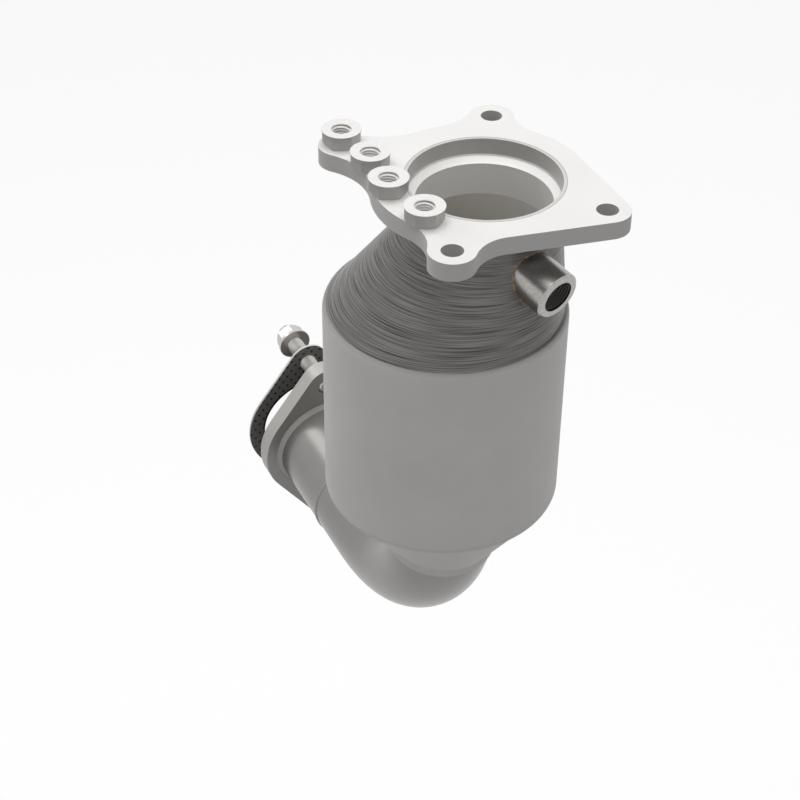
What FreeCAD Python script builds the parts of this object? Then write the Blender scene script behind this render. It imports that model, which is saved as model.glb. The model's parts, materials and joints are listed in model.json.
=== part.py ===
import FreeCAD, Part
import math
import os
import Sketcher

# Close-coupled catalytic converter, millimetres.
# The origin is the middle of the inlet opening, on the mating face of the inlet flange.
# +Z points up, out of the inlet.  The can hangs below the flange, and the outlet elbow turns
# away towards the back (+Y) and the left (-X).

Vector = FreeCAD.Vector
doc = FreeCAD.newDocument("CatalyticConverter")
sheet = doc.addObject("Spreadsheet::Sheet", "sizes")

DRIVING = [
    # inlet flange: a round hub with four bolt lobes that lie at four different places
    ("flange_thickness", 9.5), ("port_radius", 38.5), ("bolt_hole_radius", 5.5), ("lobe_radius", 11.7),
    ("hub_radius", 54.2), ("hub_x", -2.3), ("hub_y", -0.2),
    ("right_reach", 11.8), ("right_angle", 335.0), ("back_reach", 8.5), ("back_angle", 83.2),
    ("left_reach", 21.4), ("left_angle", 155.6), ("front_reach", 12.3), ("front_angle", 257.2),
    ("back_root_right", 19.0), ("back_root_left", 24.5), ("left_root_back", 39.5),
    ("left_root_front", 33.5), ("front_root_left", 25.0), ("front_root_right", 21.0),
    # inlet cone and its liner
    ("port_rim", 1.5), ("port_depth", 8.8), ("cone_wall", 2.0), ("neck_depth", 26.0), ("cone_height", 47.5),
    ("cone_shift", 17.5),
    ("liner_radius", 34.3), ("liner_wall", 1.2), ("liner_end", 29.6), ("liner_gap", 6.0), ("lip_depth", 9.6),
    ("lip_drop", 2.4), ("bead_size", 2.4),
    # can, mat and ceramic brick
    ("can_radius", 63.5), ("can_wall", 1.5), ("can_length", 117.4), ("rim_radius", 6.0), ("rim_drop", 3.4),
    ("rim_step", 2.2),
    ("mat_thickness", 5.0), ("brick_length", 96.0), ("mat_length", 90.0), ("brick_drop", 12.0),
    # sensor bung on the inlet cone
    ("bung_radius", 12.7), ("bung_bore", 8.25), ("bung_x", 35.3), ("bung_y", -45.0), ("bung_z", -39.2),
    ("bung_heading", 41.5), ("bung_dip", 11.0), ("bung_chamfer", 0.9),
    ("sensor_gap", 1.5),
    # outlet cone, elbow and stub, all in one upright plane
    ("outlet_heading", 27.5), ("neck_y", 3.8), ("outlet_drop", 42.6), ("neck_tilt", 12.5),
    ("sleeve_length", 6.0), ("sleeve_wall", 1.5),
    ("pipe_radius", 31.0), ("pipe_wall", 1.5), ("bend_radius", 68.0), ("bend_turn", 81.5),
    ("elbow_tail", 30.0), ("stub_length", 52.4),
    # outlet flange, gasket and fasteners
    ("outlet_thickness", 10.0), ("stud_spacing", 94.4), ("outlet_middle", 40.3), ("outlet_end", 12.6),
    ("pipe_setback", 2.0), ("gasket_gap", 16.5), ("gasket_thickness", 1.5), ("gasket_port", 30.0),
    ("ring_width", 1.6), ("gasket_hole_radius", 5.2),
    ("thread_radius", 5.0), ("thread_gap", 0.05), ("stud_length", 62.0), ("stud_chamfer", 1.2),
    ("washer_radius", 10.2), ("washer_hole_radius", 5.2), ("washer_thickness", 2.0),
    ("nut_flats", 16.0), ("nut_height", 8.0), ("nut_disc_radius", 10.1), ("nut_disc_thickness", 0.6),
    ("flange_nut_flats", 17.0), ("nut_corner_cut", 0.15), ("nut_countersink", 0.4),
    ("stud_tail", 6.0), ("nut_thread_radius", 4.95), ("nut_to_port", 0.2), ("nut_overhang", 3.1),
    ("nut_1_shift", 2.0), ("nut_2_angle", 169.0), ("nut_3_angle", 195.5), ("nut_4_angle", 232.5),
    ("nut_turn", 3.5),
]
for row, (alias, value) in enumerate(DRIVING, start=1):
    sheet.set(f"A{row}", alias)
    sheet.set(f"B{row}", str(value))
    sheet.setAlias(f"B{row}", alias)
doc.recompute()


class Size:
    """A length or angle with its value and the sheet expression that gives it."""

    def __init__(self, value, text):
        self.value = float(value)
        self.text = text

    def joined(self, other, sign, value):
        return Size(value, f"({self.text} {sign} {other.text})")

    def __add__(self, other):
        other = plain(other)
        return self.joined(other, "+", self.value + other.value)

    def __sub__(self, other):
        other = plain(other)
        return self.joined(other, "-", self.value - other.value)

    def __mul__(self, other):
        other = plain(other)
        return self.joined(other, "*", self.value * other.value)

    def __truediv__(self, other):
        other = plain(other)
        return self.joined(other, "/", self.value / other.value)

    def __neg__(self):
        return Size(-self.value, f"(-{self.text})")


def plain(number):
    return number if isinstance(number, Size) else Size(number, str(number))


def cell(alias):
    return Size(sheet.get(alias), f"sizes.{alias}")


ZERO = plain(0)


def bind(thing, **sizes):
    """Tie properties of a document object to sheet expressions."""
    for name, size in sizes.items():
        thing.setExpression(name, plain(size).text)


# ---------------------------------------------------------------- sketch and body helpers

def new_body(label):
    body = doc.addObject("PartDesign::Body", label)
    body.Label = label
    return body


def origin_plane(body, role):
    return next(f for f in body.Origin.OriginFeatures if f.Role == role)


def new_sketch(body, name, role="XY_Plane", lift=None):
    sketch = body.newObject("Sketcher::SketchObject", name)
    sketch.AttachmentSupport = [(origin_plane(body, role), "")]
    sketch.MapMode = "FlatFace"
    if lift is not None:
        sketch.setExpression("AttachmentOffset.Base.z", plain(lift).text)
        sketch.AttachmentOffset = FreeCAD.Placement(Vector(0, 0, plain(lift).value), FreeCAD.Rotation())
    return sketch


def constrain(sketch, kind, *references, size=None):
    """Add a constraint and, where it has a size, tie that size to the sheet."""
    if size is None:
        return sketch.addConstraint(Sketcher.Constraint(kind, *references))
    number = sketch.addConstraint(Sketcher.Constraint(kind, *references, plain(size).value))
    if isinstance(size, Size) and "sizes." in size.text:
        name = f"{kind}_{number}"
        sketch.renameConstraint(number, name)
        sketch.setExpression(f"Constraints.{name}", size.text)
    return number


def place_point(sketch, geometry, end, x, y):
    """Fix a point of the sketch at (x, y) from the sketch origin."""
    for kind, size in (("DistanceX", plain(x)), ("DistanceY", plain(y))):
        constrain(sketch, kind, -1, 1, geometry, end, size=size)


def add_circle(sketch, x, y, radius):
    x, y, radius = plain(x), plain(y), plain(radius)
    round_line = Part.Circle(Vector(x.value, y.value, 0), Vector(0, 0, 1), radius.value)
    circle = sketch.addGeometry(round_line, False)
    constrain(sketch, "Radius", circle, size=radius)
    place_point(sketch, circle, 3, x, y)
    return circle


def add_polygon(sketch, corners):
    """Closed straight-sided profile whose corners are all placed from the sheet."""
    points = [(plain(x), plain(y)) for x, y in corners]
    lines = []
    for (x1, y1), (x2, y2) in zip(points, points[1:] + points[:1]):
        lines.append(sketch.addGeometry(Part.LineSegment(Vector(x1.value, y1.value, 0),
                                                         Vector(x2.value, y2.value, 0)), False))
    for this, following in zip(lines, lines[1:] + lines[:1]):
        constrain(sketch, "Coincident", this, 2, following, 1)
    for line, (x, y) in zip(lines, points):
        place_point(sketch, line, 1, x, y)
    return lines


def pad(body, sketch, length, reversed_=False):
    feature = body.newObject("PartDesign::Pad", "Pad")
    feature.Profile = sketch
    feature.Length = plain(length).value
    bind(feature, Length=length)
    feature.Reversed = reversed_
    return feature


def revolve(body, sketch):
    """Full turn of a sketch in the body's XZ plane about its Z axis."""
    feature = body.newObject("PartDesign::Revolution", "Revolution")
    feature.Profile = sketch
    feature.ReferenceAxis = (sketch, ["V_Axis"])
    feature.Angle = 360
    return feature


def turned(label, corners):
    """A turned piece: a straight-sided half section of (radius, height) corners, spun about Z."""
    body = new_body(label)
    sketch = new_sketch(body, f"{label}_section", "XZ_Plane")
    add_polygon(sketch, corners)
    revolve(body, sketch)
    return body


def cylinder(name, radius, height, placement=None):
    solid = doc.addObject("Part::Cylinder", name)
    bind(solid, Radius=radius, Height=height)
    if placement is not None:
        solid.Placement = placement
    return solid


def cut(label, base, tool):
    piece = doc.addObject("Part::Cut", label)
    piece.Label = label
    piece.Base = base
    piece.Tool = tool
    return piece


def polar(radius, degrees):
    return Vector(radius * math.cos(math.radians(degrees)), radius * math.sin(math.radians(degrees)), 0)


# ---------------------------------------------------------------- inlet flange
# The plate's outline runs round the hub.  At three lobes it leaves the hub on a hollow arc, turns
# round the bolt hole and comes back on another hollow arc.  The fourth lobe, on the right, is
# reached by two straight sides.

def circles_meet(first, first_radius, second, second_radius, left):
    """The crossing point of two circles, on the left or right of the way from first to second."""
    way = second - first
    along = (first_radius ** 2 - second_radius ** 2 + way.Length ** 2) / (2 * way.Length)
    aside = math.sqrt(first_radius ** 2 - along ** 2)
    way.normalize()
    across = Vector(-way.y, way.x, 0) * (aside if left else -aside)
    return first + way * along + across


def angle_of(vector):
    return math.atan2(vector.y, vector.x)


def add_arc(sketch, centre, radius, start, end):
    """Arc that runs anticlockwise from the point start to the point end."""
    first = angle_of(start - centre)
    last = angle_of(end - centre)
    if last <= first:
        last += 2 * math.pi
    circle = Part.Circle(centre, Vector(0, 0, 1), radius)
    return sketch.addGeometry(Part.ArcOfCircle(circle, first, last), False)


def lobe_place(name):
    """X and Y of a lobe's centre: its reach beyond the hub's edge, at its angle round the hub."""
    angle = cell(f"{name}_angle")
    away = cell("hub_radius") + cell(f"{name}_reach")
    turn_x = Size(math.cos(math.radians(angle.value)), f"cos({angle.text} * 1 deg)")
    turn_y = Size(math.sin(math.radians(angle.value)), f"sin({angle.text} * 1 deg)")
    return cell("hub_x") + away * turn_x, cell("hub_y") + away * turn_y


def flange_outline(sketch):
    hub = Vector(cell("hub_x").value, cell("hub_y").value, 0)
    hub_radius = cell("hub_radius").value
    lobe_radius = cell("lobe_radius").value

    def lobe_centre(name):
        x, y = lobe_place(name)
        return Vector(x.value, y.value, 0)

    # straight sides of the right lobe: common tangents of the hub and the lobe
    right = lobe_centre("right")
    way = right - hub
    lean = math.acos((hub_radius - lobe_radius) / way.Length)
    side_below = polar(1, math.degrees(angle_of(way) - lean))
    side_above = polar(1, math.degrees(angle_of(way) + lean))

    # chain of (kind, geometry, end where the outline enters, end where it leaves)
    chain = []
    hollow = {}
    touch = {}
    for name, before, after in (("back", "back_root_right", "back_root_left"),
                                ("left", "left_root_back", "left_root_front"),
                                ("front", "front_root_left", "front_root_right")):
        lobe = lobe_centre(name)
        for key, alias, left in (("in", before, False), ("out", after, True)):
            root = cell(alias).value
            centre = circles_meet(hub, hub_radius + root, lobe, lobe_radius + root, left)
            on_hub = hub + (centre - hub) * (hub_radius / (hub_radius + root))
            on_lobe = lobe + (centre - lobe) * (lobe_radius / (lobe_radius + root))
            hollow[name, key] = (centre, root, alias)
            touch[name, key] = (on_hub, on_lobe)

    def hub_arc(start, end):
        arc = add_arc(sketch, hub, hub_radius, start, end)
        chain.append((arc, 1, 2))
        if len(hub_arcs) == 0:
            constrain(sketch, "Radius", arc, size=cell("hub_radius"))
            place_point(sketch, arc, 3, cell("hub_x"), cell("hub_y"))
        else:
            constrain(sketch, "Coincident", arc, 3, hub_arcs[0], 3)
            constrain(sketch, "Equal", arc, hub_arcs[0])
        hub_arcs.append(arc)

    def lobe_arc(name, start, end):
        arc = add_arc(sketch, lobe_centre(name), lobe_radius, start, end)
        chain.append((arc, 1, 2))
        constrain(sketch, "Radius", arc, size=cell("lobe_radius"))
        place_point(sketch, arc, 3, *lobe_place(name))

    def hollow_arc(name, key):
        centre, root, alias = hollow[name, key]
        on_hub, on_lobe = touch[name, key]
        start, end = (on_lobe, on_hub) if key == "in" else (on_hub, on_lobe)
        arc = add_arc(sketch, centre, root, start, end)
        chain.append((arc, 2, 1))
        constrain(sketch, "Radius", arc, size=cell(alias))

    def straight(start, end):
        line = sketch.addGeometry(Part.LineSegment(start, end), False)
        chain.append((line, 1, 2))
        return line

    # the front lobe's right root runs straight into the lower side of the right lobe
    front = lobe_centre("front")
    root = cell("front_root_right").value
    along = Vector(-side_below.y, side_below.x, 0)
    rise = hub_radius + root - (front - hub).dot(side_below)
    centre = front + side_below * rise + along * math.sqrt((lobe_radius + root) ** 2 - rise ** 2)
    hollow["front", "out"] = (centre, root, "front_root_right")
    side_start = centre - side_below * root
    touch["front", "out"] = (side_start, front + (centre - front) * (lobe_radius / (lobe_radius + root)))

    hub_arcs = []
    lower_side = straight(side_start, right + side_below * lobe_radius)
    lobe_arc("right", right + side_below * lobe_radius, right + side_above * lobe_radius)
    straight(right + side_above * lobe_radius, hub + side_above * hub_radius)
    previous = hub + side_above * hub_radius
    for name in ("back", "left", "front"):
        hub_arc(previous, touch[name, "in"][0])
        hollow_arc(name, "in")
        lobe_arc(name, touch[name, "in"][1], touch[name, "out"][1])
        hollow_arc(name, "out")
        previous = touch[name, "out"][0]
    for (this, _, leave), (following, enter, _) in zip(chain, chain[1:] + chain[:1]):
        constrain(sketch, "Tangent", this, leave, following, enter)
    constrain(sketch, "Tangent", lower_side, hub_arcs[0])


flange = new_body("inlet_flange")
flange_sketch = new_sketch(flange, "flange_plan")
flange_outline(flange_sketch)
add_circle(flange_sketch, 0, 0, cell("port_radius") + cell("port_rim"))
for lobe in ("right", "back", "left", "front"):
    add_circle(flange_sketch, *lobe_place(lobe), cell("bolt_hole_radius"))
pad(flange, flange_sketch, cell("flange_thickness"), reversed_=True)

# ---------------------------------------------------------------- inlet cone
# A tube neck stands in the flange, flush with its face.  Below it the wall opens to the can,
# which lies to the left of the inlet, so the right side is almost upright.

neck_outer = cell("port_radius") + cell("port_rim")
neck_inner = neck_outer - cell("cone_wall")
can_top = cell("neck_depth") + cell("cone_height")


def slanting_solid(label, start, neck_radius, neck_end, foot_radius, foot_level):
    """Upright neck from start down to neck_end, then a cone that slants over to the can's axis."""
    body = new_body(label)
    top = new_sketch(body, f"{label}_top", lift=-start)
    add_circle(top, 0, 0, neck_radius)
    pad(body, top, neck_end - start, reversed_=True)
    shoulder = new_sketch(body, f"{label}_shoulder", lift=-neck_end)
    add_circle(shoulder, 0, 0, neck_radius)
    foot = new_sketch(body, f"{label}_foot", lift=-foot_level)
    add_circle(foot, -cell("cone_shift"), 0, foot_radius)
    loft = body.newObject("PartDesign::AdditiveLoft", f"{label}_loft")
    loft.Profile = shoulder
    loft.Sections = [foot]
    loft.Ruled = True
    return body


def cone_solid(label, inset):
    """The inlet cone's outside, drawn in by inset."""
    return slanting_solid(label, ZERO, neck_outer - inset, cell("neck_depth"),
                          cell("can_radius") - cell("rim_step") - inset, can_top)


cone_outside = cone_solid("cone_outside", ZERO)
cone_inside = cone_solid("cone_inside", cell("cone_wall"))

# the opening is bored out a little, down to a short slope above the liner's lip
port_bore = turned("port_bore", [
    (0, 0), (cell("port_radius"), 0), (cell("port_radius"), -cell("port_depth")),
    (neck_inner, -cell("lip_depth")), (0, -cell("lip_depth")),
])

# place of the sensor bung: its face lies at the front right, and its axis runs in and slightly up
bung_face = Vector(cell("bung_x").value, cell("bung_y").value, cell("bung_z").value)
heading = math.radians(cell("bung_heading").value)
dip = math.radians(cell("bung_dip").value)
bung_way = Vector(math.sin(heading) * math.cos(dip), -math.cos(heading) * math.cos(dip), -math.sin(dip))
bung_place = FreeCAD.Placement(bung_face, FreeCAD.Rotation(Vector(0, 0, 1), -bung_way))

bung_reach = cell("bung_radius") * 3
cone_shell = cut("cone_shell", cone_outside, cone_inside)
cone_bored = cut("cone_bored", cone_shell, port_bore)
sensor_hole = cylinder("sensor_hole", cell("bung_bore"), bung_reach, bung_place)
inlet_cone = cut("inlet_cone", cone_bored, sensor_hole)

# weld bead in the corner under the flange
under_flange = -cell("flange_thickness")
inlet_weld = turned("inlet_weld", [
    (neck_outer, under_flange), (neck_outer + cell("bead_size"), under_flange),
    (neck_outer + cell("bead_size") * 0.4, under_flange - cell("bead_size") * 0.6),
    (neck_outer, under_flange - cell("bead_size")),
])

# liner: an inner cone that keeps hot gas off the outer one; its sloping lip hangs it in the neck
lip = turned("liner_lip", [
    (neck_inner, -cell("lip_depth")),
    (cell("liner_radius"), -(cell("lip_depth") + cell("lip_drop"))),
    (cell("liner_radius"), -(cell("lip_depth") + cell("lip_drop") * 2)),
    (cell("liner_radius") + cell("liner_wall"), -(cell("lip_depth") + cell("lip_drop") * 2)),
    (cell("liner_radius") + cell("liner_wall"),
     -(cell("lip_depth") + cell("lip_drop") + cell("liner_wall") / 2)),
    (neck_inner, -(cell("lip_depth") + cell("liner_wall"))),
])


def liner_solid(label, inset):
    upper = cell("liner_radius") + cell("liner_wall")
    outer = cell("can_radius") - cell("rim_step") - cell("liner_gap")
    return slanting_solid(label, cell("lip_depth") + cell("lip_drop") * 1.5, upper - inset,
                          cell("liner_end"), outer - inset, can_top - cell("liner_gap") / 2)


liner_outside = liner_solid("liner_outside", ZERO)
liner_inside = liner_solid("liner_inside", cell("liner_wall"))
liner_tube = cut("liner_tube", liner_outside, liner_inside)
liner_whole = doc.addObject("Part::MultiFuse", "liner_whole")
liner_whole.Shapes = [lip, liner_tube]
sensor_window = cylinder("sensor_window", cell("bung_bore") + cell("sensor_gap"), bung_reach, bung_place)
inlet_liner = cut("inlet_liner", liner_whole, sensor_window)

# ---------------------------------------------------------------- sensor bung
# A turned and threaded boss, cut to the cone on which it is welded.
bung_bar = turned("bung_bar", [
    (cell("bung_bore"), 0),
    (cell("bung_radius") - cell("bung_chamfer"), 0),
    (cell("bung_radius"), cell("bung_chamfer")),
    (cell("bung_radius"), bung_reach),
    (cell("bung_bore"), bung_reach),
])
bung_bar.Placement = bung_place
cone_core = cone_solid("cone_core", ZERO)
sensor_bung = cut("sensor_bung", bung_bar, cone_core)

# ---------------------------------------------------------------- can, mat and brick
# The can is a rolled tube whose lower rim is turned in over the outlet cone.
can_axis = Vector(-cell("cone_shift").value, 0, 0)


def in_can(piece):
    piece.Placement = FreeCAD.Placement(can_axis, FreeCAD.Rotation())
    piece.setExpression("Placement.Base.x", "-sizes.cone_shift")


can_bottom = can_top + cell("can_length")


def can_section(sketch):
    """Tube wall whose two rims are rolled in on arcs and end on flat edges."""
    outer, wall, rim, drop = cell("can_radius"), cell("can_wall"), cell("rim_radius"), cell("rim_drop")
    bend_x = outer - rim
    chain = []
    for sign, tip in ((1, can_bottom), (-1, can_top)):
        level = -(tip - drop * sign)
        edge = -tip
        centre = Vector(bend_x.value, level.value, 0)
        points = []
        for radius in (rim, rim - wall):
            reach = math.sqrt(radius.value ** 2 - drop.value ** 2)
            points.append(Vector(bend_x.value + reach, edge.value, 0))
        corners = [Vector(outer.value, level.value, 0), points[0], points[1],
                   Vector(outer.value - wall.value, level.value, 0)]
        if sign > 0:
            outer_arc = add_arc(sketch, centre, rim.value, corners[1], corners[0])
            inner_arc = add_arc(sketch, centre, rim.value - wall.value, corners[2], corners[3])
            tips, sides = 1, 2
        else:
            outer_arc = add_arc(sketch, centre, rim.value, corners[0], corners[1])
            inner_arc = add_arc(sketch, centre, rim.value - wall.value, corners[3], corners[2])
            tips, sides = 2, 1
        end = sketch.addGeometry(Part.LineSegment(corners[1], corners[2]), False)
        place_point(sketch, outer_arc, 3, bend_x, level)
        constrain(sketch, "Coincident", outer_arc, 3, inner_arc, 3)
        constrain(sketch, "Coincident", outer_arc, tips, end, 1)
        constrain(sketch, "Coincident", inner_arc, tips, end, 2)
        constrain(sketch, "DistanceY", -1, 1, end, 1, size=edge)
        constrain(sketch, "Horizontal", end)
        chain.append((outer_arc, inner_arc, sides, corners))
    (low_outer, low_inner, low_side, low), (top_outer, top_inner, top_side, high) = chain
    outside = sketch.addGeometry(Part.LineSegment(low[0], high[0]), False)
    inside = sketch.addGeometry(Part.LineSegment(low[3], high[3]), False)
    constrain(sketch, "Tangent", low_outer, low_side, outside, 1)
    constrain(sketch, "Tangent", outside, 2, top_outer, top_side)
    constrain(sketch, "Tangent", low_inner, low_side, inside, 1)
    constrain(sketch, "Tangent", inside, 2, top_inner, top_side)
    constrain(sketch, "DistanceX", -1, 1, outside, 1, size=outer)
    constrain(sketch, "DistanceX", -1, 1, inside, 1, size=outer - wall)


can = new_body("can_shell")
can_sketch = new_sketch(can, "can_section", "XZ_Plane")
can_section(can_sketch)
revolve(can, can_sketch)
in_can(can)

brick_top = can_top + cell("brick_drop")
brick_radius = cell("can_radius") - cell("can_wall") - cell("mat_thickness")
mat_inset = (cell("brick_length") - cell("mat_length")) / 2
mat = turned("support_mat", [
    (brick_radius, -(brick_top + mat_inset)),
    (cell("can_radius") - cell("can_wall"), -(brick_top + mat_inset)),
    (cell("can_radius") - cell("can_wall"), -(brick_top + mat_inset + cell("mat_length"))),
    (brick_radius, -(brick_top + mat_inset + cell("mat_length"))),
])
in_can(mat)
brick = turned("ceramic_brick", [
    (0, -brick_top), (brick_radius, -brick_top),
    (brick_radius, -(brick_top + cell("brick_length"))), (0, -(brick_top + cell("brick_length"))),
])
in_can(brick)

# ---------------------------------------------------------------- outlet frame
# The outlet neck, elbow, stub and flange lie in one upright plane.  neck_frame stands at the
# lower end of the neck with its X in that plane and its Z back up the leaning neck.
neck_end = Vector(-cell("cone_shift").value, cell("neck_y").value, -(can_bottom + cell("outlet_drop")).value)
turn_to_outlet = FreeCAD.Rotation(Vector(0, 0, 1), 90 + cell("outlet_heading").value)
lean_neck = FreeCAD.Rotation(Vector(0, 1, 0), -cell("neck_tilt").value)
neck_frame = FreeCAD.Placement(neck_end, turn_to_outlet * lean_neck)

# outlet cone: from inside the rolled rim of the can to a sleeve on the leaning neck
mouth_radius = cell("can_radius") - cell("rim_step")


def neck_circle(name, radius, height):
    ring = doc.addObject("Part::Circle", name)
    bind(ring, Radius=radius)
    raised = FreeCAD.Placement(Vector(0, 0, plain(height).value), FreeCAD.Rotation())
    ring.Placement = neck_frame.multiply(raised)
    return ring


def can_circle(name, radius, drop):
    ring = doc.addObject("Part::Circle", name)
    bind(ring, Radius=radius)
    ring.Placement = FreeCAD.Placement(can_axis + Vector(0, 0, -drop.value), FreeCAD.Rotation())
    ring.setExpression("Placement.Base.x", "-sizes.cone_shift")
    ring.setExpression("Placement.Base.z", (-drop).text)
    return ring


def outlet_loft(name, inset, sleeve):
    loft = doc.addObject("Part::Loft", name)
    loft.Sections = [can_circle(f"{name}_mouth", mouth_radius - inset, can_bottom),
                     neck_circle(f"{name}_shoulder", sleeve, cell("sleeve_length")),
                     neck_circle(f"{name}_end", sleeve, 0)]
    loft.Solid = True
    loft.Ruled = True
    return loft


outlet_outside = outlet_loft("outlet_outside", ZERO, cell("pipe_radius") + cell("sleeve_wall"))
outlet_inside = outlet_loft("outlet_inside", cell("sleeve_wall"), cell("pipe_radius"))
outlet_cone = cut("outlet_cone", outlet_outside, outlet_inside)


# ---------------------------------------------------------------- elbow and stub
elbow = new_body("outlet_elbow")
spine = new_sketch(elbow, "elbow_spine", "XZ_Plane")
bend = cell("bend_radius")
turn = math.radians(cell("bend_turn").value)
sleeve_top = Vector(0, cell("sleeve_length").value, 0)
start_line = spine.addGeometry(Part.LineSegment(sleeve_top, Vector(0, 0, 0)), False)
bend_centre = Vector(bend.value, 0, 0)
bend_end = bend_centre + Vector(-math.cos(turn), -math.sin(turn), 0) * bend.value
bend_arc = add_arc(spine, bend_centre, bend.value, Vector(0, 0, 0), bend_end)
tail_way = Vector(math.sin(turn), -math.cos(turn), 0)
tail_end = bend_end + tail_way * cell("elbow_tail").value
tail_line = spine.addGeometry(Part.LineSegment(bend_end, tail_end), False)
place_point(spine, start_line, 1, 0, cell("sleeve_length"))
place_point(spine, start_line, 2, 0, 0)
constrain(spine, "Coincident", bend_arc, 1, -1, 1)
place_point(spine, bend_arc, 3, bend, 0)
constrain(spine, "DistanceX", bend_arc, 2, bend_arc, 3,
          size=bend * Size(math.cos(turn), "cos(sizes.bend_turn * 1 deg)"))
constrain(spine, "Tangent", bend_arc, 2, tail_line, 1)
constrain(spine, "Distance", tail_line, size=cell("elbow_tail"))
profile = new_sketch(elbow, "elbow_section", "XY_Plane", lift=cell("sleeve_length"))
add_circle(profile, 0, 0, cell("pipe_radius"))
add_circle(profile, 0, 0, cell("pipe_radius") - cell("pipe_wall"))
sweep = elbow.newObject("PartDesign::AdditivePipe", "elbow_sweep")
sweep.Profile = profile
sweep.Spine = (spine, [])
elbow.Placement = neck_frame

# stub_frame: end of the elbow, with Z along the stub towards the outlet
stub_rotation = FreeCAD.Rotation(Vector(0, 1, 0), 180 - cell("bend_turn").value)
stub_frame = neck_frame.multiply(FreeCAD.Placement(Vector(tail_end.x, 0, tail_end.y), stub_rotation))


def along_stub(distance):
    return stub_frame.multiply(FreeCAD.Placement(Vector(0, 0, plain(distance).value), FreeCAD.Rotation()))


pipe_end = cell("stub_length") + cell("outlet_thickness") - cell("pipe_setback")
bore = cell("pipe_radius") - cell("pipe_wall")
stub = turned("outlet_stub", [
    (bore, 0), (cell("pipe_radius"), 0), (cell("pipe_radius"), pipe_end), (bore, pipe_end),
])
stub.Placement = stub_frame
seam = turned("elbow_seam_weld", [
    (cell("pipe_radius"), -cell("bead_size") / 2),
    (cell("pipe_radius") + cell("bead_size") / 4, -cell("bead_size") / 4),
    (cell("pipe_radius") + cell("bead_size") / 4, cell("bead_size") / 4),
    (cell("pipe_radius"), cell("bead_size") / 2),
])
seam.Placement = stub_frame

# ---------------------------------------------------------------- outlet flange and gasket
# Both have one outline: a round middle and two stud ends, joined by straight sides.

def stud_plate(label, thickness, port):
    """Plate in its own frame: Z through the plate, X from stud to stud."""
    body = new_body(label)
    sketch = new_sketch(body, f"{label}_plan")
    half = cell("stud_spacing") / 2
    middle, end = cell("outlet_middle"), cell("outlet_end")
    lean = math.acos((middle.value - end.value) / half.value)
    chain = []
    for side in (1, -1):
        corner = polar(1, math.degrees(lean) if side > 0 else 180 + math.degrees(lean))
        mirror = Vector(corner.x, -corner.y, 0)
        stud = Vector(side * half.value, 0, 0)
        arc = add_arc(sketch, stud, end.value, stud + mirror * end.value, stud + corner * end.value)
        constrain(sketch, "Radius", arc, size=end)
        place_point(sketch, arc, 3, half if side > 0 else -half, 0)
        chain.append((arc, 1, 2))
        far = Vector(-corner.x, corner.y, 0)
        line = sketch.addGeometry(Part.LineSegment(stud + corner * end.value, corner * middle.value), False)
        chain.append((line, 1, 2))
        belly = add_arc(sketch, Vector(0, 0, 0), middle.value, corner * middle.value, far * middle.value)
        constrain(sketch, "Radius", belly, size=middle)
        place_point(sketch, belly, 3, 0, 0)
        chain.append((belly, 1, 2))
        line = sketch.addGeometry(Part.LineSegment(far * middle.value, far * end.value - stud), False)
        chain.append((line, 1, 2))
    for (this, _, leave), (following, enter, _) in zip(chain, chain[1:] + chain[:1]):
        constrain(sketch, "Tangent", this, leave, following, enter)
    add_circle(sketch, 0, 0, port)
    return body, sketch, half


outlet_flange, plate_sketch, half_spacing = stud_plate(
    "outlet_flange", cell("outlet_thickness"), cell("pipe_radius"))
for side in (1, -1):
    add_circle(plate_sketch, half_spacing * side, 0, cell("thread_radius") + cell("thread_gap"))
pad(outlet_flange, plate_sketch, cell("outlet_thickness"))
outlet_flange.Placement = along_stub(cell("stub_length"))

flange_weld = turned("outlet_flange_weld", [
    (cell("pipe_radius"), 0), (cell("pipe_radius"), -cell("bead_size")),
    (cell("pipe_radius") + cell("bead_size") * 0.4, -cell("bead_size") * 0.6),
    (cell("pipe_radius") + cell("bead_size"), 0),
])
flange_weld.Placement = along_stub(cell("stub_length"))

gasket_face = cell("stub_length") + cell("outlet_thickness") + cell("gasket_gap")
gasket, gasket_sketch, _ = stud_plate(
    "gasket_sheet", cell("gasket_thickness"), cell("gasket_port") + cell("ring_width"))
for side in (1, -1):
    add_circle(gasket_sketch, half_spacing * side, 0, cell("gasket_hole_radius"))
pad(gasket, gasket_sketch, cell("gasket_thickness"))
gasket.Placement = along_stub(gasket_face)
ring = turned("gasket_port_ring", [
    (cell("gasket_port"), 0), (cell("gasket_port") + cell("ring_width"), 0),
    (cell("gasket_port") + cell("ring_width"), cell("gasket_thickness")),
    (cell("gasket_port"), cell("gasket_thickness")),
])
ring.Placement = along_stub(gasket_face)


# ---------------------------------------------------------------- fasteners

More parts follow.
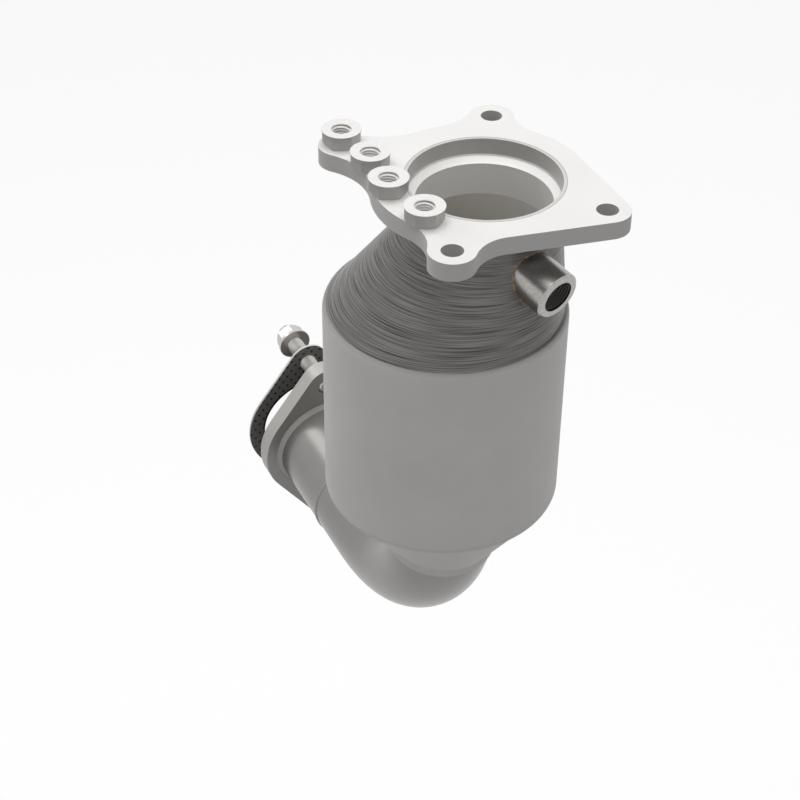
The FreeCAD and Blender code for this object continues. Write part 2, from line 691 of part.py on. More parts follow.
def hex_nut(label, flats, bore_radius, disc=False):
    """Hexagon nut with its corners turned off; with disc, a thin round face stands on its upper end."""
    flat = flats / 2
    corner = flat / Size(math.cos(math.radians(30)), "cos(30 deg)") - cell("nut_corner_cut")
    height = cell("nut_height")
    prism = doc.addObject("Part::Prism", f"{label}_prism")
    prism.Polygon = 6
    bind(prism, Circumradius=corner + cell("nut_corner_cut"), Height=height)
    slope = (corner - flat) * 0.8
    section = [(0, 0), (flat, 0), (corner, slope)]
    if disc:
        section += [(corner, height), (0, height)]
    else:
        section += [(corner, height - slope), (flat, height), (0, height)]
    blank = doc.addObject("Part::Common", f"{label}_blank")
    blank.Base = prism
    blank.Tool = turned(f"{label}_ends", section)
    if disc:
        face = cylinder(f"{label}_disc", cell("nut_disc_radius"), cell("nut_disc_thickness"))
        face.setExpression("Placement.Base.z", "sizes.nut_height - sizes.nut_disc_thickness")
        whole = doc.addObject("Part::MultiFuse", f"{label}_whole")
        whole.Shapes = [blank, face]
        blank = whole
    mouth = cell("nut_countersink")
    thread = turned(f"{label}_thread", [
        (0, 0), (bore_radius + mouth, 0), (bore_radius, mouth), (bore_radius, height - mouth),
        (bore_radius + mouth, height), (0, height)])
    return cut(label, blank, thread)


# The four flange nuts lie in a row on the flange face.  The first lies over the left bolt hole,
# the second on the hub's edge, and the last two just outside the opening.
nut_ring = cell("port_radius").value + cell("nut_to_port").value + cell("nut_disc_radius").value
left_x, left_y = lobe_place("left")
left_hole = Vector(left_x.value, left_y.value, 0)
nut_places = [
    left_hole + Vector(0, cell("nut_1_shift").value, 0),
    polar(cell("hub_radius").value + cell("nut_overhang").value, cell("nut_2_angle").value),
    polar(nut_ring, cell("nut_3_angle").value),
    polar(nut_ring, cell("nut_4_angle").value),
]
for number, place in enumerate(nut_places, start=1):
    nut = hex_nut(f"inlet_nut_{number}", cell("flange_nut_flats"), cell("nut_thread_radius"), disc=True)
    nut.Placement = FreeCAD.Placement(place, FreeCAD.Rotation(Vector(0, 0, 1), cell("nut_turn").value))

# studs stand in the outlet flange; the gasket hangs on them, and a washer and nut close each one
stud_start = cell("stub_length")
nut_seat = stud_start + cell("stud_length") - cell("stud_tail") - cell("nut_height")
for name, side in (("upper", -1), ("lower", 1)):
    aside = Vector(side * half_spacing.value, 0, 0)

    def on_stud(distance):
        return along_stub(distance).multiply(FreeCAD.Placement(aside, FreeCAD.Rotation()))

    length, chamfer, thread_radius = cell("stud_length"), cell("stud_chamfer"), cell("thread_radius")
    stud = turned(f"{name}_stud", [
        (0, 0), (thread_radius - chamfer, 0), (thread_radius, chamfer), (thread_radius, length - chamfer),
        (thread_radius - chamfer, length), (0, length)])
    stud.Placement = on_stud(stud_start)
    washer = turned(f"{name}_washer", [
        (cell("washer_hole_radius"), 0), (cell("washer_radius"), 0),
        (cell("washer_radius"), cell("washer_thickness")),
        (cell("washer_hole_radius"), cell("washer_thickness"))])
    washer.Placement = on_stud(nut_seat - cell("washer_thickness"))
    nut = hex_nut(f"{name}_nut", cell("nut_flats"), cell("thread_radius") + cell("thread_gap"))
    nut.Placement = on_stud(nut_seat)

# ---------------------------------------------------------------- check and write
NODES = ["inlet_flange", "inlet_weld", "inlet_cone", "inlet_liner", "sensor_bung", "can_shell", "support_mat",
         "ceramic_brick", "outlet_cone", "outlet_elbow", "elbow_seam_weld", "outlet_stub", "outlet_flange",
         "outlet_flange_weld", "gasket_sheet", "gasket_port_ring",
         "upper_stud", "lower_stud", "upper_washer", "lower_washer", "upper_nut", "lower_nut",
         "inlet_nut_1", "inlet_nut_2", "inlet_nut_3", "inlet_nut_4"]
doc.recompute()
failed = [thing.Name for thing in doc.Objects if "Invalid" in thing.State or "Error" in thing.State]
if failed:
    raise RuntimeError(f"objects not built: {failed}")
os.makedirs("parts", exist_ok=True)
for node in NODES:
    piece = doc.getObjectsByLabel(node)[0]
    shape = piece.Shape
    if shape.isNull() or not shape.isValid() or len(shape.Solids) != 1:
        raise RuntimeError(f"{node} is not one valid solid")
    shape.exportStep(f"parts/{node}.step")
    box = shape.BoundBox
    print(f"{node:20s} {shape.Volume:12.1f} mm3  z {box.ZMin:8.2f} to {box.ZMax:8.2f}")
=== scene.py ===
import json
import math

import bpy
from mathutils import Matrix, Vector


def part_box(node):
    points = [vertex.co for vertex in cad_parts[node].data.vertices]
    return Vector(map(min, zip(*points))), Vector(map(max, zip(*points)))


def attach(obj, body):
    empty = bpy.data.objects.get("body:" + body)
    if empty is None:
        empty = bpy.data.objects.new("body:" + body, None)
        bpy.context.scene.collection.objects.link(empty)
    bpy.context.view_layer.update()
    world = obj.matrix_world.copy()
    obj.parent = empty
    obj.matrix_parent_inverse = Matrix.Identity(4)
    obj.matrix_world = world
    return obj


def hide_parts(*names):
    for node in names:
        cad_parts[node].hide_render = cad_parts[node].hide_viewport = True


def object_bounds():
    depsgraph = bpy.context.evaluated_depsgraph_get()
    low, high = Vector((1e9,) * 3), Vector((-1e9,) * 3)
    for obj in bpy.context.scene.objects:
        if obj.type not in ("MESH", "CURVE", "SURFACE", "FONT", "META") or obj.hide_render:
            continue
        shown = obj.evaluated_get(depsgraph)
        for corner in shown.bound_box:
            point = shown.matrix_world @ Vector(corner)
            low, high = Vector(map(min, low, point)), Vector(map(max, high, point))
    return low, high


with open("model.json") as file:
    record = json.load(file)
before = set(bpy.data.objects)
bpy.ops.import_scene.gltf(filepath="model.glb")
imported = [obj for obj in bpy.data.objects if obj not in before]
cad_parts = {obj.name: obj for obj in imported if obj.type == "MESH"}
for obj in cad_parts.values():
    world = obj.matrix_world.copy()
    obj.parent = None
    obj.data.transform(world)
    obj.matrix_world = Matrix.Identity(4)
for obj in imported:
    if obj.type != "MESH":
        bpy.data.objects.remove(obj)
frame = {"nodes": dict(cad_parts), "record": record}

cad_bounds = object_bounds()

# ---------------------------------------------------------------- camera
# A product view from high in front: a long lens that looks down at 38 degrees with a trace of roll.
camera_data = bpy.data.cameras.new("camera")
camera_data.lens = 83.36
camera_data.sensor_width = 36.0
camera_data.clip_end = 20.0
camera = bpy.data.objects.new("camera", camera_data)
bpy.context.scene.collection.objects.link(camera)
camera_place = (-0.04043, -0.78198, 0.46735)
tilt_up_from_straight_down = math.radians(52.272)
roll = math.radians(0.592)
camera.matrix_world = (Matrix.Translation(camera_place)
                       @ Matrix.Rotation(tilt_up_from_straight_down, 4, "X")
                       @ Matrix.Rotation(roll, 4, "Z"))
bpy.context.scene.camera = camera


# ---------------------------------------------------------------- brick and mat
# The catalyst is an extruded cordierite honeycomb with a pale tan washcoat.  It is wrapped in a
# soft buff mat of ceramic fibre, and the can is closed round both.
def linear(text):
    """An sRGB hex colour as linear RGBA."""
    values = [int(text[i:i + 2], 16) / 255 for i in (1, 3, 5)]
    return tuple(v / 12.92 if v <= 0.04045 else ((v + 0.055) / 1.055) ** 2.4 for v in values) + (1.0,)


def add(owner, kind, links=(), values=(), stops=(), **settings):
    """Add a node to a material or a world, with its settings, its input values, its links as
    (input, node, output), and the (position, hex colour) stops of a colour ramp."""
    node = owner.node_tree.nodes.new(kind)
    for name, value in settings.items():
        setattr(node, name, value)
    for target, value in dict(values).items():
        node.inputs[target].default_value = value
    for target, source, output in links:
        owner.node_tree.links.new(source.outputs[output], node.inputs[target])
    if stops:
        marks = node.color_ramp.elements
        while len(marks) < len(stops):
            marks.new(0.5)
        for mark, (position, colour) in zip(marks, stops):
            mark.position = position
            mark.color = linear(colour)
    return node


def join(owner, source, output, target, socket):
    """Link a node's output to another node's input."""
    owner.node_tree.links.new(source.outputs[output], target.inputs[socket])


def new_material(name, roughness, metallic):
    """A named material, its shader and its object coordinates."""
    material = bpy.data.materials.new(name)
    material.use_nodes = True
    shader = material.node_tree.nodes["Principled BSDF"]
    shader.inputs["Metallic"].default_value = metallic
    shader.inputs["Roughness"].default_value = roughness
    return material, shader, add(material, "ShaderNodeTexCoord")


def grained(name, dark, light, roughness, metallic, grain_mm, bump, cloud_mm=35.7):
    """A material, its shader, its object coordinates and its tone.  The tone wanders between two
    close colours in wide clouds, under a fine bumpy grain.  Real blasting and rolling leave a grain
    of about 0.1 mm; it is drawn ten times coarser or more, so that it shows."""
    material, shader, place = new_material(name, roughness, metallic)
    cloud = add(material, "ShaderNodeTexNoise", [("Vector", place, "Object")],
                {"Scale": 1000 / cloud_mm, "Detail": 3.0})
    tone = add(material, "ShaderNodeValToRGB", [("Fac", cloud, "Fac")], stops=[(0.35, dark), (0.65, light)])
    join(material, tone, "Color", shader, "Base Color")
    grain = add(material, "ShaderNodeTexNoise", [("Vector", place, "Object")],
                {"Scale": 1000 / grain_mm, "Detail": 2.0})
    relief = add(material, "ShaderNodeBump", [("Height", grain, "Fac")],
                 {"Strength": bump, "Distance": 0.0001})
    join(material, relief, "Normal", shader, "Normal")
    return material, shader, place, tone


def dress(material, *nodes):
    """Give CAD nodes their material."""
    for node in nodes:
        mesh = frame["nodes"][node].data
        mesh.materials.clear()
        mesh.materials.append(material)


# the real cells are about 1.3 mm apart; these are 2 mm, so that they show
cell_pitch = 0.002
cell_wall = 0.0003
brick, brick_shader, brick_place = new_material("cordierite_honeycomb", 0.85, 0.0)
cells = add(brick, "ShaderNodeTexBrick", [("Vector", brick_place, "Object")],
            {"Color1": linear("#8f8a81"), "Color2": linear("#8f8a81"), "Mortar": linear("#dcd7cc"),
             "Scale": 1.0, "Mortar Size": cell_wall, "Brick Width": cell_pitch, "Row Height": cell_pitch},
            offset=0.0)
join(brick, cells, "Color", brick_shader, "Base Color")
dress(brick, "ceramic_brick")
mat_fibre, *_ = grained("ceramic_fibre_mat", "#bdb6a8", "#cfc9bc", 0.9, 0.0, grain_mm=1.6, bump=0.8)
dress(mat_fibre, "support_mat")

# ---------------------------------------------------------------- can and outlet cone
# Rolled ferritic stainless sheet, welded along its seam, its rims turned in and its whole face
# lightly blasted: an even warm grey with a soft, wide highlight and very faint mottling.
blasted_sheet, can_shader, _, can_tone = grained(
    "blasted_stainless_sheet", "#e6e4e2", "#ebe9e7", 0.62, 0.15, grain_mm=1.1, bump=0.1)
# sockets of a colour mix: its two colours, and its result
FIRST, SECOND, MIXED = 6, 7, 2
# painted shade: the turned-in rim is drawn darker where it faces upward, to take down the light it catches
# from above
can_surface = add(blasted_sheet, "ShaderNodeNewGeometry")
can_slope = add(blasted_sheet, "ShaderNodeSeparateXYZ", [("Vector", can_surface, "Normal")])
can_rim_painted_shade = add(blasted_sheet, "ShaderNodeMapRange", [("Value", can_slope, "Z")],
              {"From Min": 0.05, "From Max": 0.7})
can_colour = add(blasted_sheet, "ShaderNodeMix", [("Factor", can_rim_painted_shade, "Result"), (FIRST, can_tone, "Color")],
                 {SECOND: linear("#9f9d9b")}, data_type="RGBA")
join(blasted_sheet, can_colour, MIXED, can_shader, "Base Color")
dress(blasted_sheet, "can_shell", "outlet_cone")

# ---------------------------------------------------------------- outlet elbow and stub
# Thin-walled stainless tube, mandrel bent, with the stub welded on behind it.  The tube is smoother
# than the can, so it carries clearer highlights over a faint mottling.
tube_steel, *_ = grained("mandrel_bent_tube_steel", "#94928f", "#9b9996", 0.27, 0.45, grain_mm=1.4, bump=0.05)
dress(tube_steel, "outlet_elbow", "outlet_stub")

# ---------------------------------------------------------------- liner
# Spun stainless inner cone with a bright rolled lip, held in the neck of the inlet cone.  It shows
# no tool marks, only a smooth sheen.
liner_steel, *_ = grained("spun_liner_steel", "#efeeec", "#f3f2f0", 0.42, 0.1, grain_mm=1.1, bump=0.05)
dress(liner_steel, "inlet_liner")

# ---------------------------------------------------------------- brushed inlet cone
# Pressed stainless cone, brushed while it turned on a lathe: rings of fine scratches run round it
# level with the flange.  Inside the neck and on its top edge the sheet is plain.  The sensor bung
# is welded into it and leaves a trace of heat.
mounts = {mount["name"]: mount for mount in frame["record"]["mounts"]}
brushed, brushed_shader, brushed_place = new_material("lathe_brushed_steel", 0.34, 0.4)
# brush marks are about 0.1 mm wide; these are 0.4 mm, so that they show, and run 38 degrees round
scratch_width = 0.0004
scratches_per_radian = 1.5
split = add(brushed, "ShaderNodeSeparateXYZ", [("Vector", brushed_place, "Object")])
angle = add(brushed, "ShaderNodeMath", [(0, split, "Y"), (1, split, "X")], operation="ARCTAN2")
around = add(brushed, "ShaderNodeMath", [(0, angle, "Value")], {1: scratches_per_radian},
             operation="MULTIPLY")
level = add(brushed, "ShaderNodeMath", [(0, split, "Z")], {1: 1 / scratch_width}, operation="MULTIPLY")
ring_place = add(brushed, "ShaderNodeCombineXYZ", [("X", around, "Value"), ("Y", level, "Value")])
rings = add(brushed, "ShaderNodeTexNoise", [("Vector", ring_place, "Vector")], {"Scale": 1.0, "Detail": 1.5})
ring_tone = add(brushed, "ShaderNodeValToRGB", [("Fac", rings, "Fac")],
                stops=[(0.34, "#464442"), (0.47, "#6c6a68"), (0.62, "#8a8886")])
ring_relief = add(brushed, "ShaderNodeBump", [("Height", rings, "Fac")],
                  {"Strength": 0.22, "Distance": 0.0002})
join(brushed, ring_relief, "Normal", brushed_shader, "Normal")
# the scratches run round the axis, so the sheen fans out along the slope
brushed_shader.inputs["Anisotropic"].default_value = 0.5
turn = add(brushed, "ShaderNodeTangent", direction_type="RADIAL", axis="Z")
join(brushed, turn, "Tangent", brushed_shader, "Tangent")

# the plain part: the neck's inner wall, and its top edge down to 0.8 mm below the mating face
neck_wall_middle = 0.0392
plain_edge_height = -0.0008
flat_place = add(brushed, "ShaderNodeCombineXYZ", [("X", split, "X"), ("Y", split, "Y")])
from_axis = add(brushed, "ShaderNodeVectorMath", [(0, flat_place, "Vector")], operation="LENGTH")
in_neck = add(brushed, "ShaderNodeMath", [(0, from_axis, "Value")], {1: neck_wall_middle},
              operation="LESS_THAN")
near_top = add(brushed, "ShaderNodeMath", [(0, split, "Z")], {1: plain_edge_height},
               operation="GREATER_THAN")
plain = add(brushed, "ShaderNodeMath", [(0, in_neck, "Value"), (1, near_top, "Value")], operation="MAXIMUM")
cone_colour = add(brushed, "ShaderNodeMix", [("Factor", plain, "Value"), (FIRST, ring_tone, "Color")],
                  {SECOND: linear("#cfcdca")}, data_type="RGBA")


def off_axis(material, place, point, axis):
    """Distance in metres from a line through point along axis."""
    arm = add(material, "ShaderNodeVectorMath", [(0, place, "Object")], {1: point}, operation="SUBTRACT")
    across = add(material, "ShaderNodeVectorMath", [(0, arm, "Vector")], {1: axis}, operation="CROSS_PRODUCT")
    return add(material, "ShaderNodeVectorMath", [(0, across, "Vector")], operation="LENGTH")


# the heat: straw brown specks in a ring 1 mm wide round the bung, on the outside only
bung = mounts["sensor_thread"]
heat_radius = 0.0137
heat_reach = 0.034
speck_mm = 1.61
bung_off = off_axis(brushed, brushed_place, bung["pos_m"], bung["axis"])
beside = add(brushed, "ShaderNodeMath", [(0, bung_off, "Value")], {1: heat_radius}, operation="LESS_THAN")
distance = add(brushed, "ShaderNodeVectorMath", [(0, brushed_place, "Object")], {1: bung["pos_m"]},
               operation="DISTANCE")
close = add(brushed, "ShaderNodeMath", [(0, distance, "Value")], {1: heat_reach}, operation="LESS_THAN")
outside = add(brushed, "ShaderNodeMath", [(0, close, "Value"), (1, plain, "Value")],
              operation="SUBTRACT", use_clamp=True)
speckle = add(brushed, "ShaderNodeTexNoise", [("Vector", brushed_place, "Object")],
              {"Scale": 1000 / speck_mm, "Detail": 1.0})
speckled = add(brushed, "ShaderNodeMath", [(0, speckle, "Fac")], {1: 0.52}, operation="GREATER_THAN")
ringed = add(brushed, "ShaderNodeMath", [(0, beside, "Value"), (1, outside, "Value")], operation="MULTIPLY")
heated = add(brushed, "ShaderNodeMath", [(0, ringed, "Value"), (1, speckled, "Value")], operation="MULTIPLY")
heat_colour = add(brushed, "ShaderNodeMix", [("Factor", heated, "Value"), (FIRST, cone_colour, MIXED)],
                  {SECOND: linear("#a98058")}, data_type="RGBA")
join(brushed, heat_colour, MIXED, brushed_shader, "Base Color")
dress(brushed, "inlet_cone")

# ---------------------------------------------------------------- sensor bung
# Turned free-cutting stainless boss, bright, with an M18 x 1.5 thread and a bore painted darker, as painted
# shade in the hole.  The thread is one helical ridge inside the bore.  The gasket's port ring is turned from
# the same steel.
bung_bore = bung["dims"]["r_mm"] / 1000
turned_steel, turned_shader, turned_place = new_material("turned_bright_steel", 0.27, 1.0)
# real tool marks are finer than 0.1 mm; the mottling that stands for them is 1.1 mm, to show
tool_mark_mm = 1.11
tool_marks = add(turned_steel, "ShaderNodeTexNoise", [("Vector", turned_place, "Object")],
                 {"Scale": 1000 / tool_mark_mm, "Detail": 2.0})
turned_tone = add(turned_steel, "ShaderNodeValToRGB", [("Fac", tool_marks, "Fac")],
                  stops=[(0.35, "#a19f9c"), (0.65, "#b1aeab")])
turned_off = off_axis(turned_steel, turned_place, bung["pos_m"], bung["axis"])
bore_skin = 0.00035
# painted shade: the bore's wall is painted dark, standing for the shade inside the hole
bore_painted_shade = add(turned_steel, "ShaderNodeMath", [(0, turned_off, "Value")], {1: bung_bore + bore_skin},
              operation="LESS_THAN")
turned_colour = add(turned_steel, "ShaderNodeMix",
                    [("Factor", bore_painted_shade, "Value"), (FIRST, turned_tone, "Color")],
                    {SECOND: linear("#383634")}, data_type="RGBA")
join(turned_steel, turned_colour, MIXED, turned_shader, "Base Color")
dress(turned_steel, "sensor_bung", "gasket_port_ring")


def helix(name, radius, depth, pitch, turns):
    """A thread ridge: a three-sided profile screwed up the Z axis from the origin.  It stands in
    from radius by depth, or out from it where depth is negative."""
    width = pitch * 0.92
    equal_sided_depth = width * math.sqrt(3) / 2
    middle = (radius - depth / 3, 0, width / 2)
    bpy.ops.object.select_all(action="DESELECT")
    bpy.ops.mesh.primitive_circle_add(vertices=3, radius=width / math.sqrt(3), fill_type="NGON",
                                      location=middle, rotation=(math.radians(90), math.radians(-90), 0))
    ridge = bpy.context.object
    ridge.name = name
    bpy.ops.object.transform_apply(location=True, rotation=True, scale=True)
    bpy.ops.object.mode_set(mode="EDIT")
    bpy.ops.mesh.select_all(action="SELECT")
    bpy.ops.transform.resize(value=(depth / equal_sided_depth, 1, 1), center_override=middle)
    bpy.ops.object.mode_set(mode="OBJECT")
    steps = int(28 * turns)
    screw = ridge.modifiers.new("turns", "SCREW")
    screw.axis = "Z"
    screw.angle = math.tau * turns
    screw.screw_offset = pitch * turns
    screw.steps = steps
    screw.render_steps = steps
    bpy.ops.object.modifier_apply(modifier="turns")
    bpy.ops.object.mode_set(mode="EDIT")
    bpy.ops.mesh.select_all(action="SELECT")
    bpy.ops.mesh.remove_doubles(threshold=1e-6)
    bpy.ops.mesh.fill_holes(sides=3)
    bpy.ops.mesh.normals_make_consistent(inside=False)
    bpy.ops.object.mode_set(mode="OBJECT")
    return ridge


def facing(point, axis):
    """Matrix that carries the origin to point and +Z to axis."""
    turn = Vector((0, 0, 1)).rotation_difference(Vector(axis)).to_matrix().to_4x4()
    return Matrix.Translation(Vector(point)) @ turn


def settle(piece, matrix, material):
    """Put a finished piece in its place in its mesh, and hand it to the frame."""
    piece.data.transform(matrix)
    piece.data.update()
    piece.data.materials.clear()
    piece.data.materials.append(material)
    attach(piece, "root")


# every thread here has the same 1.5 mm pitch, and a ridge's root is sunk a little into the metal
pitch = 0.0015
root_sink = 0.00003
bung_countersink = 0.0006
bung_thread = helix("sensor_thread_ridge", bung_bore + root_sink, depth=0.00055, pitch=pitch, turns=7)
bung_in = facing(bung["pos_m"], [-a for a in bung["axis"]])
settle(bung_thread, bung_in @ Matrix.Translation((0, 0, bung_countersink)), turned_steel)


# ---------------------------------------------------------------- flanges
# The inlet flange is laser-cut stainless plate, ground flat: pale and matte with a fine even grain.
# A hairline joint runs round the neck tube, which stands flush in the plate.  The outlet flange is
# the same plate shot blasted and greyer, with its edges painted paler as a painted highlight.
def edge_mask(material, axis):
    """1 on walls that run along the axis, 0 on faces square to it."""
    surface = add(material, "ShaderNodeNewGeometry")
    squareness = add(material, "ShaderNodeVectorMath", [(0, surface, "Normal")], {1: axis},
                     operation="DOT_PRODUCT")
    size = add(material, "ShaderNodeMath", [(0, squareness, "Value")], operation="ABSOLUTE")
    return add(material, "ShaderNodeMath", [(0, size, "Value")], {1: 0.5}, operation="LESS_THAN")


def near_axis(material, place, centre, radius):
    """1 within radius of an upright axis through centre, else 0."""
    flat = add(material, "ShaderNodeVectorMath", [(0, place, "Object")], {1: (1, 1, 0)}, operation="MULTIPLY")
    reach = add(material, "ShaderNodeVectorMath", [(0, flat, "Vector")], {1: (centre[0], centre[1], 0)},
                operation="DISTANCE")
    return add(material, "ShaderNodeMath", [(0, reach, "Value")], {1: radius}, operation="LESS_THAN")


neck_radius = 0.04
joint_width = 0.00035
hole_skin = 0.00005
upright = (0, 0, 1)
plate_steel, plate_shader, plate_place, plate_tone = grained(
    "ground_plate_steel", "#e6e5e3", "#eae9e7", 0.7, 0.1, grain_mm=1.11, bump=0.08, cloud_mm=41.7)
# the laser-cut edges are painted a little darker than the ground faces: partly their cut finish, partly
# painted shade on the sides
plate_edges_cut_and_shade = edge_mask(plate_steel, upright)
plate_colour = add(plate_steel, "ShaderNodeMix",
                   [("Factor", plate_edges_cut_and_shade, "Value"), (FIRST, plate_tone, "Color")],
                   {SECOND: linear("#e3e1de")}, data_type="RGBA")
# the joint is a narrow band outside the neck; the cut walls of the bolt holes are painted darker, partly
# their cut finish and partly painted shade inside the holes
wide = near_axis(plate_steel, plate_place, (0, 0), neck_radius + joint_width)
narrow = near_axis(plate_steel, plate_place, (0, 0), neck_radius)
band = add(plate_steel, "ShaderNodeMath", [(0, wide, "Value"), (1, narrow, "Value")], operation="SUBTRACT")
plate_marks = [(band, "#a19e9a")]
for side in ("right", "back", "front", "left"):
    bolt_hole = mounts[f"bolt_hole_{side}"]
    hole_radius = bolt_hole["dims"]["r_mm"] / 1000 + hole_skin
    plate_marks.append((near_axis(plate_steel, plate_place, bolt_hole["pos_m"], hole_radius), "#c9c6c3"))
for mask, colour in plate_marks:
    plate_colour = add(plate_steel, "ShaderNodeMix",
                       [("Factor", mask, "Value"), (FIRST, plate_colour, MIXED)],
                       {SECOND: linear(colour)}, data_type="RGBA")
join(plate_steel, plate_colour, MIXED, plate_shader, "Base Color")
dress(plate_steel, "inlet_flange")

outlet_axis = Vector(mounts["outlet_port"]["axis"])
blasted_plate, blasted_shader, _, blasted_tone = grained(
    "shot_blasted_plate_steel", "#9c9996", "#a3a09d", 0.42, 0.35, grain_mm=1.3, bump=0.12)
# painted highlight: the edges are painted paler than the faces, standing for the light they catch
blasted_edges_painted_highlight = edge_mask(blasted_plate, outlet_axis)
blasted_colour = add(blasted_plate, "ShaderNodeMix",
                     [("Factor", blasted_edges_painted_highlight, "Value"), (FIRST, blasted_tone, "Color")],
                     {SECOND: linear("#bdbab7")}, data_type="RGBA")
join(blasted_plate, blasted_colour, MIXED, blasted_shader, "Base Color")
dress(blasted_plate, "outlet_flange")

# ---------------------------------------------------------------- weld beads
# Argon welds run round both flanges and the elbow's seam.  The bead is duller than the sheet, with
# a rough ripple.
weld_steel, *_ = grained("argon_weld_bead", "#a09d9a", "#aca9a6", 0.4, 0.3, grain_mm=1.6, bump=0.4)
dress(weld_steel, "inlet_weld", "elbow_seam_weld", "outlet_flange_weld")


# ---------------------------------------------------------------- flange nuts
# Four cold-formed M10 x 1.5 nuts with a thin round face, zinc plated: pale and matte, with the sides
# painted darker than the top as painted shade.  They lie loose on the inlet flange.
def copied(piece, name):
    """A copy of a piece, with its own mesh."""
    twin = piece.copy()
    twin.data = piece.data.copy()
    twin.name = name
    bpy.context.scene.collection.objects.link(twin)
    return twin


nut_thread_root = 0.00497
nut_countersink = 0.0004
nut_steel, nut_shader, nut_place = new_material("zinc_plated_nut_steel", 0.45, 0.2)
# the plating's own grain is far finer; this mottling is 1.25 mm, to show
plating_mm = 1.25
plating = add(nut_steel, "ShaderNodeTexNoise", [("Vector", nut_place, "Object")],
              {"Scale": 1000 / plating_mm, "Detail": 2.0})
nut_tone = add(nut_steel, "ShaderNodeValToRGB", [("Fac", plating, "Fac")],
               stops=[(0.35, "#e4e2e0"), (0.65, "#eae8e6")])
# painted shade: the sides are painted darker than the top, for the light that falls from above
nut_sides_painted_shade = edge_mask(nut_steel, upright)
nut_colour = add(nut_steel, "ShaderNodeMix", [("Factor", nut_sides_painted_shade, "Value"), (FIRST, nut_tone, "Color")],
                 {SECOND: linear("#b9b7b4")}, data_type="RGBA")
join(nut_steel, nut_colour, MIXED, nut_shader, "Base Color")
nut_threads = [helix("inlet_nut_1_thread", nut_thread_root, depth=0.0007, pitch=pitch, turns=3.8)]
nut_threads += [copied(nut_threads[0], f"inlet_nut_{number}_thread") for number in (2, 3, 4)]
for number, thread in enumerate(nut_threads, start=1):
    node = f"inlet_nut_{number}"
    dress(nut_steel, node)
    low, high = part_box(node)
    start = Matrix.Translation(((low[0] + high[0]) / 2, (low[1] + high[1]) / 2, low[2] + nut_countersink))
    settle(thread, start, nut_steel)

# ---------------------------------------------------------------- outlet studs, washers and nuts
# M10 x 1.5 studs rolled along their whole length, plain washers and hexagon nuts, zinc plated
# bright.  Each stud here is a chamfered core with its thread wound round it.
fastener_steel, *_ = grained("bright_zinc_fastener_steel", "#c4c2bf", "#cecbc8", 0.28, 0.7,
                             grain_mm=1.2, bump=0.08)
dress(fastener_steel, "upper_washer", "lower_washer", "upper_nut", "lower_nut")
stud_length = 0.062
core_radius = 0.0043
end_radius = 0.0034
chamfer = 0.0009
stud_thread_root = 0.0042
# the core is extruded from a disc, and each end is drawn in to a 45 degree chamfer
bpy.ops.object.select_all(action="DESELECT")
bpy.ops.mesh.primitive_circle_add(vertices=48, radius=end_radius, fill_type="NGON", location=(0, 0, 0))
upper_core = bpy.context.object
upper_core.name = "upper_stud_core"
bpy.ops.object.mode_set(mode="EDIT")
bpy.ops.mesh.select_all(action="SELECT")
for rise, spread in ((chamfer, core_radius / end_radius),
                     (stud_length - 2 * chamfer, 1.0),
                     (chamfer, end_radius / core_radius)):
    bpy.ops.mesh.extrude_region_move(TRANSFORM_OT_translate={"value": (0, 0, rise)})
    bpy.ops.transform.resize(value=(spread, spread, 1.0))
bpy.ops.mesh.select_all(action="SELECT")
bpy.ops.mesh.normals_make_consistent(inside=False)
bpy.ops.object.mode_set(mode="OBJECT")
bpy.ops.object.shade_smooth_by_angle(angle=math.radians(35))
upper_thread = helix("upper_stud_thread", stud_thread_root, depth=-0.0008, pitch=pitch, turns=39)
lower_core = copied(upper_core, "lower_stud_core")
lower_thread = copied(upper_thread, "lower_stud_thread")
stud_middle = {}
for stud, core, thread in (("upper_stud", upper_core, upper_thread),
                           ("lower_stud", lower_core, lower_thread)):
    low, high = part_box(stud)
    stud_middle[stud] = (Vector(low) + Vector(high)) / 2
    start = facing(stud_middle[stud] - outlet_axis * stud_length / 2, outlet_axis)
    settle(core, start, fastener_steel)
    settle(thread, start @ Matrix.Translation((0, 0, chamfer)), fastener_steel)
    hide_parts(stud)

# ---------------------------------------------------------------- gasket
# Sheet-steel core faced with graphite: dull grey, punched all over with two staggered sets of small
# holes painted black as painted shade, and with a bare light steel edge.  It hangs on the studs behind the
# outlet flange.
along_gasket = stud_middle["upper_stud"] - stud_middle["lower_stud"]
along_gasket.normalize()
across_gasket = outlet_axis.cross(along_gasket)
hole_step_across = 0.0056
hole_step_along = 0.0074
gasket_facing, gasket_shader, gasket_place = new_material("graphite_gasket_facing", 0.55, 0.0)


def spaced(along, step, shift):
    """Distance in metres to the nearest line of a set of parallel lines step apart."""
    reach = add(gasket_facing, "ShaderNodeVectorMath", [(0, gasket_place, "Object")], {1: along / step},
                operation="DOT_PRODUCT")
    moved = add(gasket_facing, "ShaderNodeMath", [(0, reach, "Value")], {1: shift}, operation="ADD")
    saw = add(gasket_facing, "ShaderNodeMath", [(0, moved, "Value")], {1: 0.5, 2: -0.5}, operation="WRAP")
    return add(gasket_facing, "ShaderNodeMath", [(0, saw, "Value")], {1: step}, operation="MULTIPLY")


def punched(shift):
    """Distance in metres to the nearest hole centre of one set, shifted by a share of its steps."""
    across = spaced(across_gasket, hole_step_across, shift)
    along = spaced(along_gasket, hole_step_along, shift)
    spot = add(gasket_facing, "ShaderNodeCombineXYZ", [("X", across, "Value"), ("Y", along, "Value")])
    return add(gasket_facing, "ShaderNodeVectorMath", [(0, spot, "Vector")], operation="LENGTH")


nearest = add(gasket_facing, "ShaderNodeMath", [(0, punched(0.0), "Value"), (1, punched(0.5), "Value")],
              operation="MINIMUM")
nearest_mm = add(gasket_facing, "ShaderNodeMath", [(0, nearest, "Value")], {1: 1000.0}, operation="MULTIPLY")
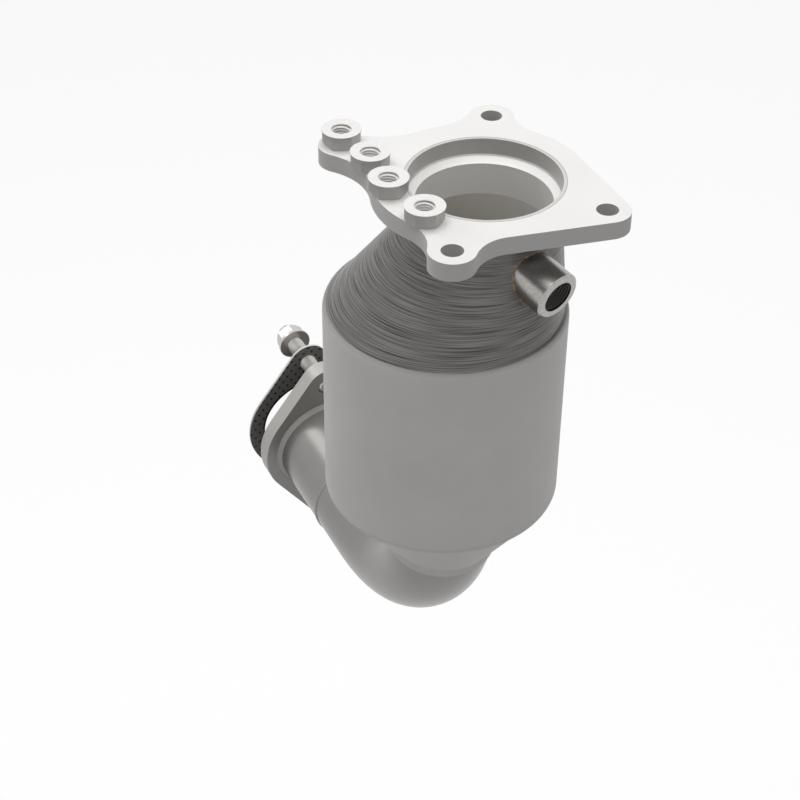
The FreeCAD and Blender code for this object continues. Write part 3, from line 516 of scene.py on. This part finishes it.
# each hole is painted black, as painted shade in the hole, to 0.75 mm from its centre and meets the grey
# facing at 1 mm
hole_shade_tone = add(gasket_facing, "ShaderNodeValToRGB", [("Fac", nearest_mm, "Value")],
                stops=[(0.75, "#0c0c0c"), (0.9, "#6f6e6b"), (1.0, "#787774")])
gasket_edges = edge_mask(gasket_facing, outlet_axis)
gasket_colour = add(gasket_facing, "ShaderNodeMix",
                    [("Factor", gasket_edges, "Value"), (FIRST, hole_shade_tone, "Color")],
                    {SECOND: linear("#e2e0dd")}, data_type="RGBA")
join(gasket_facing, gasket_colour, MIXED, gasket_shader, "Base Color")
dress(gasket_facing, "gasket_sheet")

# ---------------------------------------------------------------- studio
# A pale floor well below the hanging part and an even white room.  The broad lamp overhead lights
# the part, and a smaller one high behind on the left draws the bright lines on tube, bung and cone.
low, high = cad_bounds
floor_drop = 0.45
bpy.ops.object.select_all(action="DESELECT")
bpy.ops.mesh.primitive_plane_add(size=14.0, location=(0, 0, low[2] - floor_drop))
floor = bpy.context.object
floor.name = "floor"


def seen(owner):
    """1 where the camera, a reflection or a view through glass looks, 0 for light on the part."""
    path = add(owner, "ShaderNodeLightPath")
    direct = add(owner, "ShaderNodeMath", [(0, path, "Is Camera Ray"), (1, path, "Is Glossy Ray")],
                 operation="MAXIMUM")
    return add(owner, "ShaderNodeMath", [(0, direct, "Value"), (1, path, "Is Transmission Ray")],
               operation="MAXIMUM")


floor_glow = 0.82
floor_paint, floor_shader, _ = new_material("floor_paint", 0.9, 0.0)
floor_shader.inputs["Base Color"].default_value = linear("#8c8c8c")
lift = add(floor_paint, "ShaderNodeMath", [(0, seen(floor_paint), "Value")], {1: floor_glow},
           operation="MULTIPLY")
glow = add(floor_paint, "ShaderNodeEmission", [("Strength", lift, "Value")])
both = add(floor_paint, "ShaderNodeAddShader", [(0, floor_shader, "BSDF"), (1, glow, "Emission")])
join(floor_paint, both, "Shader", floor_paint.node_tree.nodes["Material Output"], "Surface")
floor.data.materials.append(floor_paint)

world = bpy.data.worlds.new("studio")
bpy.context.scene.world = world
world.use_nodes = True
room = world.node_tree.nodes["Background"]
room.inputs["Color"].default_value = (1, 1, 1, 1)
room_strength = add(world, "ShaderNodeMapRange", [("Value", seen(world), "Value")],
                    {"To Min": 0.28, "To Max": 0.98})
join(world, room_strength, "Result", room, "Strength")

# each lamp's width, power, place, and the way its back looks
for name, width, watts, place, away in (
        ("overhead", 1.1, 11.3, (-0.05, 0.1, 1.1), (0, 0, 1)),
        ("side_lamp", 0.45, 1.3, (-0.85, 0.45, 0.55), (-0.85, 0.45, 0.7))):
    lamp_data = bpy.data.lights.new(name, "AREA")
    lamp_data.size = width
    lamp_data.energy = watts
    lamp = bpy.data.objects.new(name, lamp_data)
    bpy.context.scene.collection.objects.link(lamp)
    lamp.matrix_world = facing(place, away)
bpy.context.scene.view_settings.view_transform = "Standard"
